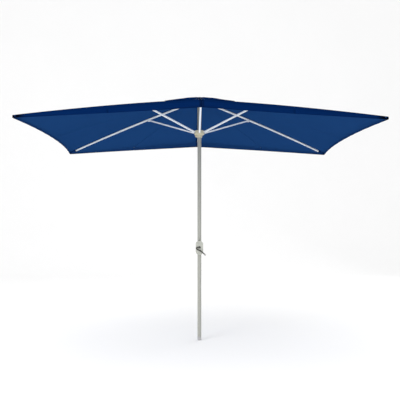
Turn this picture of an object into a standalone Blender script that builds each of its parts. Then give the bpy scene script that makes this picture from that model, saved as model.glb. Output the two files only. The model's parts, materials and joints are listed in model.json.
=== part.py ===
"""Rectangular crank parasol: pole, crown, runner, six ribs on struts, crank and cloth.

Frame: metres, +Z up the pole, origin at the centre of the pole's foot, +X along the long side.
The model stands open. Each rib, with its strut and its share of the cloth, is an "arm" that lies
in one upright plane through the pole, and its shapes are drawn in that plane as (out, up).
"""
from math import atan2, cos, hypot, pi, radians, sin

import bmesh
import bpy
from mathutils import Matrix, Vector

# ------------------------------------------------------------------ driving dimensions (metres)
LENGTH, WIDTH = 3.0, 2.0            # cloth, corner to corner
GAP = 0.0003                        # between pieces that touch
RUNNING = 0.0003                    # radial clearance of a pin in its eye

POLE_RADIUS, POLE_WALL = 0.019, 0.0012
POLE_SPLIT_Z = 0.72                 # where the two pole lengths meet
POLE_TOP_Z = 2.3362
FOOT_CAP_HEIGHT, FOOT_SPIGOT, FOOT_EDGE = 0.038, 0.030, 0.003
SLEEVE_HALF_LENGTH = 0.105
RIVET_Z, RIVET_HEAD_RADIUS, RIVET_HEAD = 0.757, 0.0048, 0.0018
BUTTON_Z, BUTTON_RADIUS, BUTTON_STAND_OUT = 0.690, 0.0038, 0.0032
BUTTON_FLANGE_RADIUS, BUTTON_FLANGE, BUTTON_TRAVEL_ROOM = 0.0055, 0.0017, 0.0028
SPRING_STRIP, SPRING_WIDTH, SPRING_DROP = 0.0008, 0.006, 0.045

CROWN_CORNER_PIVOT = (POLE_RADIUS + 0.031, 2.372)  # (out, up)
CROWN_MID_PIVOT = (POLE_RADIUS + 0.026, 2.358)
RUNNER_CORNER_PIVOT = (POLE_RADIUS + 0.021, 2.055)
RUNNER_MID_PIVOT = (POLE_RADIUS + 0.026, 2.043)
STRUT_CORNER_OUT, STRUT_CORNER_UP = 0.638, 2.240   # where a corner strut meets its rib
STRUT_ARM = 0.6125                  # mid rib and mid strut, pivot to pivot, are equal arms
OPEN_PIVOT_PLAY = 0.009             # free room round a corner strut's inner end
CROWN_SLOT_ROOM, RUNNER_SLOT_ROOM = 0.0035, 0.001  # behind a tongue, in a hub's slot
SLOT_PLAY, OPEN_SLOT_PLAY = 0.0005, 0.0007         # beside a tongue

RIB_WIDTH, RIB_HEIGHT, RIB_WALL, RIB_ROUND = 0.012, 0.015, 0.0008, 0.002
RIB_CORNER_UP, RIB_CORNER_SLOPE = 2.372, 0.1776    # rib line carried back to the pole's axis
RIB_MID_UP, RIB_MID_SLOPE = 2.3772, 0.24845
RIB_BOW = 0.019                     # metres of fall per metre out, squared
RIB_START = 0.030                   # from crown pivot to the tube's end
CORNER_POCKET, MID_POCKET = 0.098, 0.045           # from the rib's end to the cloth's edge
CAP_LENGTH, CAP_SPIGOT = 0.074, 0.030
MID_CAP_LENGTH = 0.026

STRUT_HEIGHT, STRUT_WALL, STRUT_ROUND = 0.014, 0.0014, 0.0016
FORK_PLAY = 0.0006                  # a strut's fork beside its rib
LUG_WIDTH = 0.0072
STRUT_TIP_RISE, STRUT_ROOT_DROP = 0.007, 0.008     # tube's centre line above / below its pivots
FORK_LENGTH, ROOT_LENGTH = 0.030, 0.028
TONGUE_THICKNESS = 0.005
PIN_RADIUS = 0.0025
FORK_EYE, LUG_EYE, TONGUE_EYE = PIN_RADIUS + 0.005, PIN_RADIUS + 0.004, PIN_RADIUS + 0.003
PIN_HEAD_RADIUS, PIN_HEAD = PIN_RADIUS + 0.002, 0.0014
TRUNNION_LENGTH = 0.013

CROWN_RADIUS, CROWN_TOP_Z, CROWN_BOTTOM_Z = POLE_RADIUS + 0.038, 2.381, 2.346
COLLAR_RADIUS, COLLAR_BOTTOM_Z = POLE_RADIUS + 0.007, 2.318
RUNNER_RADIUS, RUNNER_BOTTOM_Z, RUNNER_TOP_Z = POLE_RADIUS + 0.031, 2.003, 2.077
RUNNER_RUNNING, RUNNER_NECK_WALL = 0.0008, 0.0058  # runner on the pole, and its sleeve's wall
RUNNER_EYE_RADIUS, RUNNER_TAB = 0.0032, 0.005
FINIAL_RADIUS, FINIAL_BASE_Z, FINIAL_TOP_Z = 0.037, 2.3915, 2.401
STUD_RADIUS, STUD_LENGTH, FINIAL_BOSS = 0.0045, 0.029, 0.010

CLOTH = 0.0015
CLOTH_GAP = RIB_WIDTH / 7.5         # cloth above a rib's flat top, so that its fall clears the edges
CLOTH_OPENING = 0.13                # vent opening, as a part of the way to the hem
HEM_DEPTH, HEM_CORNER_DEPTH = 0.052, 0.020         # at a mid rib, and at a corner and short side
HEM_FLARE = 0.002
SHORT_BOW, LONG_BOW = 0.080, 0.015  # how far a hem draws in between its corners
VENT_EDGE = 0.22                    # vent cap, as a part of the way to the hem
VENT_COLLAR_RADIUS, VENT_COLLAR_Z = 0.034, 2.3895
VENT_LIFT, VENT_CORNER_LIFT, VENT_PUFF = 0.013, 0.005, 0.007
SEAM_HALF_GAP = 0.00025

CRANK_Z = 0.920
SHAFT_RADIUS, DRUM_RADIUS, FLANGE_RADIUS, FLANGE = 0.005, 0.013, 0.023, 0.0015
SPOOL_BACK_Y, SPOOL_LENGTH = -(POLE_RADIUS + 0.0035), 0.026
CAVITY_HALF_WIDTH, CAVITY_HALF_HEIGHT, CAVITY_BACK_Y = FLANGE_RADIUS + 0.0015, 0.043, -0.012
SCREW_RADIUS, SCREW_HEAD_RADIUS, SCREW_HEAD, SCREW_TIP_Y = 0.002, 0.004, 0.0024, -0.0155
SCREW_X = max(CAVITY_HALF_WIDTH, POLE_RADIUS) + SCREW_RADIUS + 0.001
SCREW_SEAT = 0.006                  # depth of a screw head's seat in the housing
HOUSING_HALF_WIDTH, HOUSING_HALF_HEIGHT = SCREW_X + SCREW_HEAD_RADIUS + 0.0045, 0.070
HOUSING_DROP = 0.006                # housing's middle below the crank's axis
HOUSING_FRONT_Y, HOUSING_BACK_Y = SPOOL_BACK_Y - SPOOL_LENGTH - 0.0135, POLE_RADIUS + 0.008
HOUSING_WALL = 0.003
BRAKE_WIRE, BRAKE_PLAY = 0.0032, 0.0006
CRANK_ARM_Y, CRANK_ARM_RADIUS, CRANK_BOSS_RADIUS = HOUSING_FRONT_Y - 0.013, 0.0056, 0.0100
CRANK_REACH_X, CRANK_REACH_Z = 0.052, -0.071       # knob's axis from the crank's axis
KNOB_RADIUS, KNOB_LENGTH, KNOB_SEAT_RADIUS = 0.0088, 0.046, 0.0070
KNOB_SCREW_RADIUS, KNOB_SCREW_HEAD_RADIUS, KNOB_SCREW_SUNK = 0.0022, 0.004, 0.0046

PULLEY_Z, PULLEY_RADIUS, PULLEY_GROOVE, PULLEY_WIDTH = 2.300, 0.0125, 0.009, 0.008
AXLE_RADIUS, AXLE_HEAD_RADIUS, AXLE_HEAD = 0.003, 0.0046, 0.0012
CORD_SLOT_HALF_WIDTH, CORD_SLOT_LOW, CORD_SLOT_HIGH = 0.004, -0.020, 0.028   # from the cavity's top

# ------------------------------------------------------------------ derived
HALF_X, HALF_Y = LENGTH / 2, WIDTH / 2
STRUT_WIDTH = RIB_WIDTH + 2 * (FORK_PLAY + STRUT_WALL)
CORNER_OUT = hypot(HALF_X, HALF_Y)
CORNER_TURN = atan2(HALF_Y, HALF_X)
POLE_BORE = POLE_RADIUS - POLE_WALL
MID_RISE = (CROWN_MID_PIVOT[1] - RUNNER_MID_PIVOT[1]) / 2
STRUT_MID_OUT = CROWN_MID_PIVOT[0] + (STRUT_ARM**2 - MID_RISE**2) ** 0.5
STRUT_MID_UP = CROWN_MID_PIVOT[1] - MID_RISE

# name, turn about the pole, sign of x, sign of y (0 on a mid arm)
ARMS = (
    ("front_right", -CORNER_TURN, 1, -1),
    ("back_right", CORNER_TURN, 1, 1),
    ("back_left", pi - CORNER_TURN, -1, 1),
    ("front_left", pi + CORNER_TURN, -1, -1),
    ("front", -pi / 2, 0, -1),
    ("back", pi / 2, 0, 1),
)

# name: colour, roughness, metallic
FINISHES = {
    "pole_paint": ((0.56, 0.56, 0.51), 0.38, 0.35),
    "rib_paint": ((0.78, 0.80, 0.80), 0.40, 0.25),
    "cream_plastic": ((0.62, 0.58, 0.42), 0.45, 0.0),
    "housing_plastic": ((0.42, 0.42, 0.38), 0.50, 0.0),
    "dark_plastic": ((0.07, 0.07, 0.065), 0.45, 0.0),
    "black_plastic": ((0.012, 0.012, 0.014), 0.50, 0.0),
    "foot_plastic": ((0.36, 0.36, 0.36), 0.55, 0.0),
    "steel": ((0.60, 0.60, 0.60), 0.30, 1.0),
    "blue_cloth": ((0.008, 0.045, 0.16), 0.85, 0.0),
}


# ------------------------------------------------------------------ scene and helpers
for old in list(bpy.data.objects):
    bpy.data.objects.remove(old, do_unlink=True)

parts = bpy.data.collections.new("patio_umbrella")
bpy.context.scene.collection.children.link(parts)


def finish_material(name):
    """The named finish as a Principled material, made once."""
    found = bpy.data.materials.get(name)
    if found:
        return found
    colour, roughness, metallic = FINISHES[name]
    material = bpy.data.materials.new(name)
    material.use_nodes = True
    shader = material.node_tree.nodes["Principled BSDF"]
    shader.inputs["Base Color"].default_value = (*colour, 1)
    shader.inputs["Roughness"].default_value = roughness
    shader.inputs["Metallic"].default_value = metallic
    material.diffuse_color = (*colour, 1)
    return material


def helper(data, name="helper"):
    """An object that only lives until its shape is read."""
    made = bpy.data.objects.new(name, data)
    parts.objects.link(made)
    return made


def shape_of(made, *used):
    """The object's evaluated mesh, welded. The object and the helpers it used are removed."""
    bpy.context.view_layer.update()
    graph = bpy.context.evaluated_depsgraph_get()
    mesh = bpy.data.meshes.new_from_object(made.evaluated_get(graph))
    mesh.transform(made.matrix_world)
    bm = bmesh.new()
    bm.from_mesh(mesh)
    bmesh.ops.remove_doubles(bm, verts=bm.verts, dist=1e-6)
    bm.to_mesh(mesh)
    bm.free()
    for done in (made, *used):
        bpy.data.objects.remove(done, do_unlink=True)
    return mesh


def combined(base, joined=(), cut=()):
    """One mesh: base with the meshes in joined added and those in cut taken away."""
    made = helper(base)
    used = []
    for operation, meshes in (("UNION", joined), ("DIFFERENCE", cut)):
        for mesh in meshes:
            used.append(helper(mesh))
            modifier = made.modifiers.new(operation, "BOOLEAN")
            modifier.operation = operation
            modifier.object = used[-1]
    return shape_of(made, *used)


def softened(mesh, width, segments=2, angle=radians(35)):
    """The mesh with its sharp edges rounded."""
    made = helper(mesh)
    bevel = made.modifiers.new("Bevel", "BEVEL")
    bevel.width = width
    bevel.segments = segments
    bevel.limit_method = "ANGLE"
    bevel.angle_limit = angle
    bevel.use_clamp_overlap = True
    return shape_of(made)


def turned(profile, steps=32, move=(0, 0, 0), along="Z"):
    """A turned solid. The profile is (radius, height) pairs, from the top down its outer side."""
    mesh = bpy.data.meshes.new("turned")
    points = [(radius, 0, height) for radius, height in profile]
    mesh.from_pydata(points, [(i, i + 1) for i in range(len(points) - 1)], [])
    made = helper(mesh)
    screw = made.modifiers.new("Screw", "SCREW")
    screw.axis = "Z"
    screw.angle = 2 * pi
    screw.steps = screw.render_steps = steps
    screw.use_merge_vertices = True
    screw.merge_threshold = 1e-5
    lean = {"Z": Matrix(), "X": Matrix.Rotation(pi / 2, 4, "Y"), "Y": Matrix.Rotation(-pi / 2, 4, "X")}
    made.matrix_world = Matrix.Translation(move) @ lean[along]
    return shape_of(made)


def rod(radius, low, high, centre=(0, 0), along="Y", steps=20):
    """A round bar from low to high along an axis, centred on the other two coordinates."""
    move = {"X": (0, *centre), "Y": (centre[0], 0, centre[1]), "Z": (*centre, 0)}[along]
    return turned([(0, high), (radius, high), (radius, low), (0, low)], steps, move, along)


def pipe(outer, inner, low, high, steps=36):
    """An upright round tube about the Z axis."""
    wall = turned([(0, high), (outer, high), (outer, low), (0, low)], steps)
    return combined(wall, cut=[rod(inner, low - 0.01, high + 0.01, along="Z", steps=steps)])


def block(low, high, turn=0.0):
    """A box between two corners, turned about the Z axis."""
    bm = bmesh.new()
    bmesh.ops.create_cube(bm, size=1)
    size = [h - l for l, h in zip(low, high)]
    middle = [(h + l) / 2 for l, h in zip(low, high)]
    bmesh.ops.scale(bm, vec=size, verts=bm.verts)
    bmesh.ops.translate(bm, vec=middle, verts=bm.verts)
    bmesh.ops.rotate(bm, verts=bm.verts, matrix=Matrix.Rotation(turn, 3, "Z"))
    mesh = bpy.data.meshes.new("block")
    bm.to_mesh(mesh)
    bm.free()
    return mesh


def plate(outline, thickness, across=0.0):
    """A flat outline in the X-Z plane, extruded along Y about the place across."""
    curve = bpy.data.curves.new("plate", "CURVE")
    curve.dimensions = "2D"
    curve.fill_mode = "BOTH"
    curve.extrude = thickness / 2
    spline = curve.splines.new("POLY")
    spline.points.add(len(outline) - 1)
    for point, (out, up) in zip(spline.points, outline):
        point.co = (out, up, 0, 1)
    spline.use_cyclic_u = True
    made = helper(curve)
    made.matrix_world = Matrix.Translation((0, across, 0)) @ Matrix.Rotation(pi / 2, 4, "X")
    return shape_of(made)


def bar(line, width, height, round_off=0.0):
    """A rectangular bar with rounded long edges, lofted along a line in the X-Z plane."""
    half_w, half_h = width / 2, height / 2
    section = [(-half_w, -half_h), (half_w, -half_h), (half_w, half_h), (-half_w, half_h)]
    if round_off:
        centres = [(half_w - round_off, half_h - round_off), (round_off - half_w, half_h - round_off)]
        centres += [(round_off - half_w, round_off - half_h), (half_w - round_off, round_off - half_h)]
        corners = [arc(c, round_off, i * pi / 2, (i + 1) * pi / 2, 2) for i, c in enumerate(centres)]
        section = [point for corner in corners for point in corner]
    bm = bmesh.new()
    loops = []
    for i, (out, up) in enumerate(line):
        before, after = line[max(i - 1, 0)], line[min(i + 1, len(line) - 1)]
        lean = atan2(after[1] - before[1], after[0] - before[0])
        loops.append([bm.verts.new((out - sin(lean) * h, w, up + cos(lean) * h)) for w, h in section])
    for one, two in zip(loops, loops[1:]):
        for i in range(len(section)):
            bm.faces.new((one[i - 1], one[i], two[i], two[i - 1]))
    bm.faces.new(loops[0])
    bm.faces.new(loops[-1])
    bmesh.ops.recalc_face_normals(bm, faces=bm.faces)
    mesh = bpy.data.meshes.new("bar")
    bm.to_mesh(mesh)
    bm.free()
    return mesh


def tube_along(points, radius, sides=4):
    """A round wire through the points, with closed ends."""
    curve = bpy.data.curves.new("wire", "CURVE")
    curve.dimensions = "3D"
    curve.bevel_depth = radius
    curve.bevel_resolution = sides
    curve.use_fill_caps = True
    spline = curve.splines.new("POLY")
    spline.points.add(len(points) - 1)
    for point, place in zip(spline.points, points):
        point.co = (*place, 1)
    return shape_of(helper(curve))


def smooth_path(points, steps):
    """Points along a Catmull-Rom curve through the given ones."""
    ends = [Vector(points[0]) * 2 - Vector(points[1]), *map(Vector, points)]
    ends.append(Vector(points[-1]) * 2 - Vector(points[-2]))
    path = []
    for a, b, c, d in zip(ends, ends[1:], ends[2:], ends[3:]):
        for i in range(steps):
            t = i / steps
            path.append(
                b + (c - a) * (t / 2) + (a - b * 2.5 + c * 2 - d / 2) * t**2
                + (b * 1.5 - a / 2 - c * 1.5 + d / 2) * t**3
            )
    return [*path, ends[-2]]


def arc(centre, radius, first, last, steps):
    """Points of an arc in a plane, from one angle to another."""
    angles = [first + (last - first) * i / steps for i in range(steps + 1)]
    return [(centre[0] + radius * cos(a), centre[1] + radius * sin(a)) for a in angles]


def piece(name, mesh, finish, place=(0, 0, 0), turn=0.0, smooth_angle=35):
    """A finished part: its mesh is local to its joint, and its empty stands on the joint."""
    made = bpy.data.objects.new(name, mesh)
    parts.objects.link(made)
    mesh.materials.clear()
    mesh.materials.append(finish_material(finish))
    mesh.shade_smooth()
    mesh.set_sharp_from_angle(angle=radians(smooth_angle))
    made.location = place
    made.rotation_euler = (0, 0, turn)
    return made


def on_arm(turn, out, up):
    """World place of a point in an arm's plane."""
    return (out * cos(turn), out * sin(turn), up)


# ------------------------------------------------------------------ the arms' side views
def rib_height(corner, out):
    """Height of a rib's centre line at a distance out from the pole's axis."""
    up, slope = (RIB_CORNER_UP, RIB_CORNER_SLOPE) if corner else (RIB_MID_UP, RIB_MID_SLOPE)
    return up - slope * out - RIB_BOW * out**2


def rib_end(corner):
    return CORNER_OUT - CORNER_POCKET if corner else HALF_Y - MID_POCKET


def crown_pivot(corner):
    return CROWN_CORNER_PIVOT if corner else CROWN_MID_PIVOT


def runner_pivot(corner):
    return RUNNER_CORNER_PIVOT if corner else RUNNER_MID_PIVOT


def strut_joint(corner):
    return (STRUT_CORNER_OUT, STRUT_CORNER_UP) if corner else (STRUT_MID_OUT, STRUT_MID_UP)


def rib_line(corner, first, last, steps=8):
    """Points along a rib's centre line, measured from its crown pivot."""
    out_0, up_0 = crown_pivot(corner)
    outs = [first + (last - first) * i / steps for i in range(steps + 1)]
    return [(out - out_0, rib_height(corner, out) - up_0) for out in outs]


def tongue_outline(tip, root, half_height):
    """A flat bar from its round eye at tip to a square end at root."""
    angle = atan2(root[1] - tip[1], root[0] - tip[0])
    side = Vector((-sin(angle), cos(angle))) * half_height
    ends = [tuple(Vector(root) - side), tuple(Vector(root) + side)]
    return arc(tip, TONGUE_EYE, angle + pi / 2, angle + 3 * pi / 2, 10) + ends


def rib_mesh(corner):
    """Rib tube with a flat tongue and cross pin at the crown, and a lug for its strut."""
    out_0, up_0 = crown_pivot(corner)
    start, end = out_0 + RIB_START, rib_end(corner)
    joint = strut_joint(corner)
    eye = (joint[0] - out_0, joint[1] - up_0)
    tube = bar(rib_line(corner, start, end), RIB_WIDTH, RIB_HEIGHT, RIB_ROUND)
    inside = RIB_WIDTH - 2 * RIB_WALL, RIB_HEIGHT - 2 * RIB_WALL
    hollow = bar(rib_line(corner, start + 0.025, end + 0.02), *inside)
    root = (start + 0.012 - out_0, rib_height(corner, start + 0.012) - up_0)
    tongue = plate(tongue_outline((0, 0), root, TONGUE_EYE), TONGUE_THICKNESS)
    trunnion = rod(PIN_RADIUS, -TRUNNION_LENGTH / 2, TRUNNION_LENGTH / 2)
    wall_up = RIB_HEIGHT / 2 - RIB_WALL / 2
    shoulder = [
        (joint[0] + dx - out_0, rib_height(corner, joint[0] + dx) - wall_up - up_0)
        for dx in (0.013, -0.013)
    ]
    lug = plate(arc(eye, LUG_EYE, -pi, 0, 10) + shoulder, LUG_WIDTH)
    hole = rod(PIN_RADIUS + RUNNING, -0.02, 0.02, eye)
    tube = combined(tube, cut=[hollow])
    return combined(tube, joined=[tongue, trunnion, lug], cut=[hole])


def cap_mesh(corner):
    """Plastic cap on a rib's outer end: a spigot in the tube and a nose under the cloth."""
    out_0, up_0 = crown_pivot(corner)
    end = rib_end(corner)
    length = CAP_LENGTH if corner else MID_CAP_LENGTH
    first, last = end + GAP, end + GAP + length
    nose = bar(rib_line(corner, first, last, 3), RIB_WIDTH + 0.002, RIB_HEIGHT)
    inside = (side - 2 * RIB_WALL - 2 * GAP for side in (RIB_WIDTH, RIB_HEIGHT))
    spigot = bar(rib_line(corner, end - CAP_SPIGOT, first + 0.005, 2), *inside)
    return combined(softened(nose, 0.0035, 2), joined=[spigot])


def strut_frame(corner):
    """Inward and upward directions of a strut's line, and its length between pivots."""
    joint, root = Vector(strut_joint(corner)), Vector(runner_pivot(corner))
    inward = (root - joint).normalized()
    upward = Vector((inward[1], -inward[0]))
    return inward, upward if upward[1] > 0 else -upward, (root - joint).length


def strut_mesh(corner):
    """Strut tube, forked round its rib's lug, with a flat tongue that enters the runner."""
    inward, upward, span = strut_frame(corner)

    def side(points):
        return [tuple(inward * along + upward * high) for along, high in points]

    def line(along):
        return STRUT_TIP_RISE - (STRUT_TIP_RISE + STRUT_ROOT_DROP) * along / span

    start, end = FORK_LENGTH - 0.004, span - ROOT_LENGTH
    tube = bar(side([(start, line(start)), (end, line(end))]), STRUT_WIDTH, STRUT_HEIGHT, STRUT_ROUND)
    half, merge = STRUT_HEIGHT / 2 - 0.0004, FORK_LENGTH + 0.006
    fork = arc((0, 0), FORK_EYE, pi / 2, 3 * pi / 2, 10)
    fork += [(start, line(start) - half), (merge, line(merge) - half)]
    fork += [(merge, line(merge) + half), (start, line(start) + half)]
    body = combined(tube, joined=[plate(side(fork), STRUT_WIDTH - 0.0004)])
    inside = STRUT_WIDTH - 2 * STRUT_WALL
    near, far = 0.012, end - 0.025
    channel = side([(near, line(near)), (far, line(far))])
    mouth = [(-0.02, -0.03), (FORK_LENGTH, -0.03), (FORK_LENGTH, 0.03), (-0.02, 0.03)]
    cuts = [bar(channel, inside - 0.0004, STRUT_HEIGHT - 2 * STRUT_WALL)]
    cuts += [plate(side(mouth), inside), rod(PIN_RADIUS + RUNNING, -0.02, 0.02, steps=16)]
    root = tuple(inward * (span - ROOT_LENGTH - 0.012) + upward * line(span - ROOT_LENGTH - 0.012))
    tip = tuple(inward * span)
    added = [plate(tongue_outline(tip, root, TONGUE_EYE), TONGUE_THICKNESS)]
    if not corner:
        added.append(rod(PIN_RADIUS, -TRUNNION_LENGTH / 2, TRUNNION_LENGTH / 2, tip))
    return combined(combined(body, cut=cuts), joined=added)


def pin_mesh():
    """Headed pin through a strut's fork and its rib's lug."""
    half = STRUT_WIDTH / 2 + GAP
    head, edge = half + PIN_HEAD, PIN_HEAD_RADIUS
    profile = [(0, head), (edge * 0.7, head), (edge, half + PIN_HEAD / 2), (edge, half)]
    profile += [(PIN_RADIUS, half), (PIN_RADIUS, -half), (edge, -half)]
    profile += [(edge, -half - PIN_HEAD / 2), (edge * 0.7, -head), (0, -head)]
    return turned(profile, 14, along="Y")


# ------------------------------------------------------------------ the cloth
def cloth_on_rib(corner, share):
    """Height of the cloth's middle layer over a rib, at a share of the way to the hem."""
    reach = CORNER_OUT if corner else HALF_Y
    return rib_height(corner, share * reach) + RIB_HEIGHT / 2 + CLOTH_GAP + CLOTH / 2


def hem_point(x_sign, y_sign, across):
    """Point of the cloth's outline, as shares of the half sizes. across runs -1 to 1 over an arm.

    A corner arm's share runs from the middle of the short side, round its corner, to halfway
    along its half of the long side. A mid arm's share is the middle half of the long side.
    """
    if not x_sign:
        return across / 2, y_sign
    if across < 0:
        return x_sign, y_sign * (1 + across)
    return x_sign * (1 - across / 2), y_sign


def cloth_place(x_sign, y_sign, across, share):
    """A point of the main cloth: straight between the ribs, with the hem drawn in."""
    x, y = hem_point(x_sign, y_sign, across)
    if abs(y) == 1:
        blend = abs(x)
        height = (1 - blend) * cloth_on_rib(False, share) + blend * cloth_on_rib(True, share)
        pull = Vector((0, -y * LONG_BOW * 4 * blend * (1 - blend)))
    else:
        height = cloth_on_rib(True, share)
        pull = Vector((-x * SHORT_BOW * (1 - y * y), 0))
    flat = Vector((x * HALF_X, y * HALF_Y)) * share + pull * share**3
    return Vector((*flat, height))


def seam_inset(x_sign, y_sign, across):
    """A small step back from the neighbouring arm's cloth, at the two long edges of a panel."""
    if abs(across) < 1:
        return Vector()
    if not x_sign:
        return Vector((-across * SEAM_HALF_GAP, 0, 0))
    if across < 0:
        return Vector((0, y_sign * SEAM_HALF_GAP, 0))
    return Vector((x_sign * SEAM_HALF_GAP, 0, 0))


def hem_depth(x_sign, y_sign, across):
    """The hem band narrows from a mid rib to the corners, and is a plain hem on a short side."""
    x, _ = hem_point(x_sign, y_sign, across)
    return HEM_CORNER_DEPTH + (HEM_DEPTH - HEM_CORNER_DEPTH) * (1 - abs(x))


def canopy_place(x_sign, y_sign, across, row, rows):
    """Rows run from the vent opening out to the hem, and the last one is the band's lower edge."""
    inset = seam_inset(x_sign, y_sign, across)
    share = CLOTH_OPENING + (1 - CLOTH_OPENING) * min(row, rows - 1) / (rows - 1)
    place = cloth_place(x_sign, y_sign, across, share) + inset
    if row < rows:
        return place
    x, y = hem_point(x_sign, y_sign, across)
    out = Vector((x if abs(x) == 1 else 0, y if abs(y) == 1 else 0, 0)) * HEM_FLARE
    return place + out - Vector((0, 0, hem_depth(x_sign, y_sign, across)))


def vent_place(x_sign, y_sign, across, row, rows):
    """The vent cap: from a round collar out to a rectangle, puffed between the ribs."""
    x, y = hem_point(x_sign, y_sign, across)
    share = row / rows
    edge = cloth_place(x_sign, y_sign, across, VENT_EDGE)
    flat = Vector((x * HALF_X, y * HALF_Y))
    collar = flat.normalized() * VENT_COLLAR_RADIUS
    place = collar * (1 - share) + edge.xy * share
    between = 4 * abs(x) * (1 - abs(x)) if abs(y) == 1 else 1 - y * y
    lift = VENT_CORNER_LIFT + (VENT_LIFT - VENT_CORNER_LIFT) * (1 - abs(x))
    height = VENT_COLLAR_Z + (edge.z + lift - VENT_COLLAR_Z) * share**1.2
    height += VENT_PUFF * between * sin(pi * share)
    return Vector((*place, height)) + seam_inset(x_sign, y_sign, across)


def cloth_panel(name, place_of, x_sign, y_sign, columns, rows):
    """A sheet of cloth: a grid laid on the surface that place_of gives, with its thickness."""
    bm = bmesh.new()
    bmesh.ops.create_grid(bm, x_segments=columns, y_segments=rows, size=1)
    for vertex in bm.verts:
        across, row = vertex.co.x, round((vertex.co.y + 1) / 2 * rows)
        vertex.co = place_of(x_sign, y_sign, round(across * columns) / columns, row, rows)
    bmesh.ops.recalc_face_normals(bm, faces=bm.faces)
    if sum(face.normal.z * face.calc_area() for face in bm.faces) < 0:
        bmesh.ops.reverse_faces(bm, faces=bm.faces)
    mesh = bpy.data.meshes.new(name)
    bm.to_mesh(mesh)
    bm.free()
    made = piece(name, mesh, "blue_cloth")
    sheet = made.modifiers.new("Solidify", "SOLIDIFY")
    sheet.thickness = CLOTH
    sheet.offset = 0


# ------------------------------------------------------------------ assemblies
def make_arms():
    """Six ribs, end caps, struts and pins. Arms of one kind share their meshes."""
    shapes = {
        corner: (rib_mesh(corner), cap_mesh(corner), strut_mesh(corner))
        for corner in (True, False)
    }
    pin = pin_mesh()
    for name, turn, x_sign, y_sign in ARMS:
        corner = x_sign != 0
        rib, cap, strut = shapes[corner]
        crown = on_arm(turn, *crown_pivot(corner))
        joint = on_arm(turn, *strut_joint(corner))
        piece(f"rib_{name}", rib, "rib_paint", crown, turn)
        piece(f"rib_cap_{name}", cap, "black_plastic", crown, turn)
        piece(f"strut_{name}", strut, "rib_paint", joint, turn)
        piece(f"strut_pin_{name}", pin, "steel", joint, turn)
        columns = 8 if corner else 6
        cloth_panel(f"canopy_{name}", canopy_place, x_sign, y_sign, columns, 7)
        cloth_panel(f"vent_{name}", vent_place, x_sign, y_sign, columns, 4)


def make_pole():
    """Foot cap, two pole lengths on an inner sleeve, its rivet, and the snap button."""
    foot = [(0, FOOT_CAP_HEIGHT + FOOT_SPIGOT), (POLE_BORE - GAP, FOOT_CAP_HEIGHT + FOOT_SPIGOT)]
    foot += [(POLE_BORE - GAP, FOOT_CAP_HEIGHT), (POLE_RADIUS, FOOT_CAP_HEIGHT)]
    foot += [(POLE_RADIUS, FOOT_EDGE), (POLE_RADIUS - FOOT_EDGE, 0), (0, 0)]
    piece("foot_cap", turned(foot, 36), "foot_plastic")

    sleeve_outer = POLE_BORE - GAP
    sleeve_inner = sleeve_outer - POLE_WALL
    low, high = POLE_SPLIT_Z - SLEEVE_HALF_LENGTH, POLE_SPLIT_Z + SLEEVE_HALF_LENGTH
    rivet_hole = rod(PIN_RADIUS + GAP, 0.005, 0.03, (0, RIVET_Z), "X", 16)
    button_hole = rod(BUTTON_RADIUS + RUNNING, 0.005, 0.03, (0, BUTTON_Z), "X", 16)
    axle_hole = rod(AXLE_RADIUS + GAP, -0.03, 0.03, (0, PULLEY_Z), "Y", 16)
    slot_z = CRANK_Z + CAVITY_HALF_HEIGHT
    low_front = (-CORD_SLOT_HALF_WIDTH, -POLE_RADIUS - 0.01, slot_z + CORD_SLOT_LOW)
    cord_slot = block(low_front, (CORD_SLOT_HALF_WIDTH, 0, slot_z + CORD_SLOT_HIGH))
    lower = pipe(POLE_RADIUS, POLE_BORE, FOOT_CAP_HEIGHT + GAP, POLE_SPLIT_Z - GAP / 2)
    upper = pipe(POLE_RADIUS, POLE_BORE, POLE_SPLIT_Z + GAP / 2, POLE_TOP_Z)
    sleeve = pipe(sleeve_outer, sleeve_inner, low, high, 32)
    piece("lower_pole", combined(lower, cut=[button_hole.copy()]), "pole_paint")
    piece("upper_pole", combined(upper, cut=[rivet_hole.copy(), axle_hole, cord_slot]), "pole_paint")
    piece("joint_sleeve", combined(sleeve, cut=[rivet_hole, button_hole]), "steel")

    head, tail = POLE_RADIUS + GAP, sleeve_inner - 0.0016
    rivet = [(0, head + RIVET_HEAD), (RIVET_HEAD_RADIUS * 0.66, head + RIVET_HEAD * 0.78)]
    rivet += [(RIVET_HEAD_RADIUS, head), (PIN_RADIUS, head), (PIN_RADIUS, tail), (0, tail)]
    piece("sleeve_rivet", turned(rivet, 16, (0, 0, RIVET_Z), "X"), "steel")

    tip = POLE_RADIUS + BUTTON_STAND_OUT
    button = [(0, tip), (BUTTON_RADIUS * 0.6, tip - 0.0004), (BUTTON_RADIUS, tip - 0.002)]
    flange = sleeve_inner - BUTTON_TRAVEL_ROOM
    button += [(BUTTON_RADIUS, flange), (BUTTON_FLANGE_RADIUS, flange)]
    flange -= BUTTON_FLANGE
    button += [(BUTTON_FLANGE_RADIUS, flange), (0, flange)]
    piece("snap_button", turned(button, 16, along="X"), "steel", (0, 0, BUTTON_Z))
    leg_x, foot_z = flange - GAP, BUTTON_Z - SPRING_DROP
    back_x = -(sleeve_inner - 0.003)
    strip = [(leg_x, BUTTON_Z + 0.006), (leg_x, BUTTON_Z - 0.010), (leg_x - 0.002, foot_z + 0.008)]
    strip += [(leg_x - 0.008, foot_z), (back_x + 0.007, foot_z), (back_x + 0.001, foot_z + 0.008)]
    strip += [(back_x, foot_z + 0.040)]
    inner = [
        (x - SPRING_STRIP if x > 0 else x + SPRING_STRIP, max(z, foot_z + SPRING_STRIP))
        for x, z in strip
    ]
    piece("button_spring", plate(strip + inner[::-1], SPRING_WIDTH), "steel")


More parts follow.
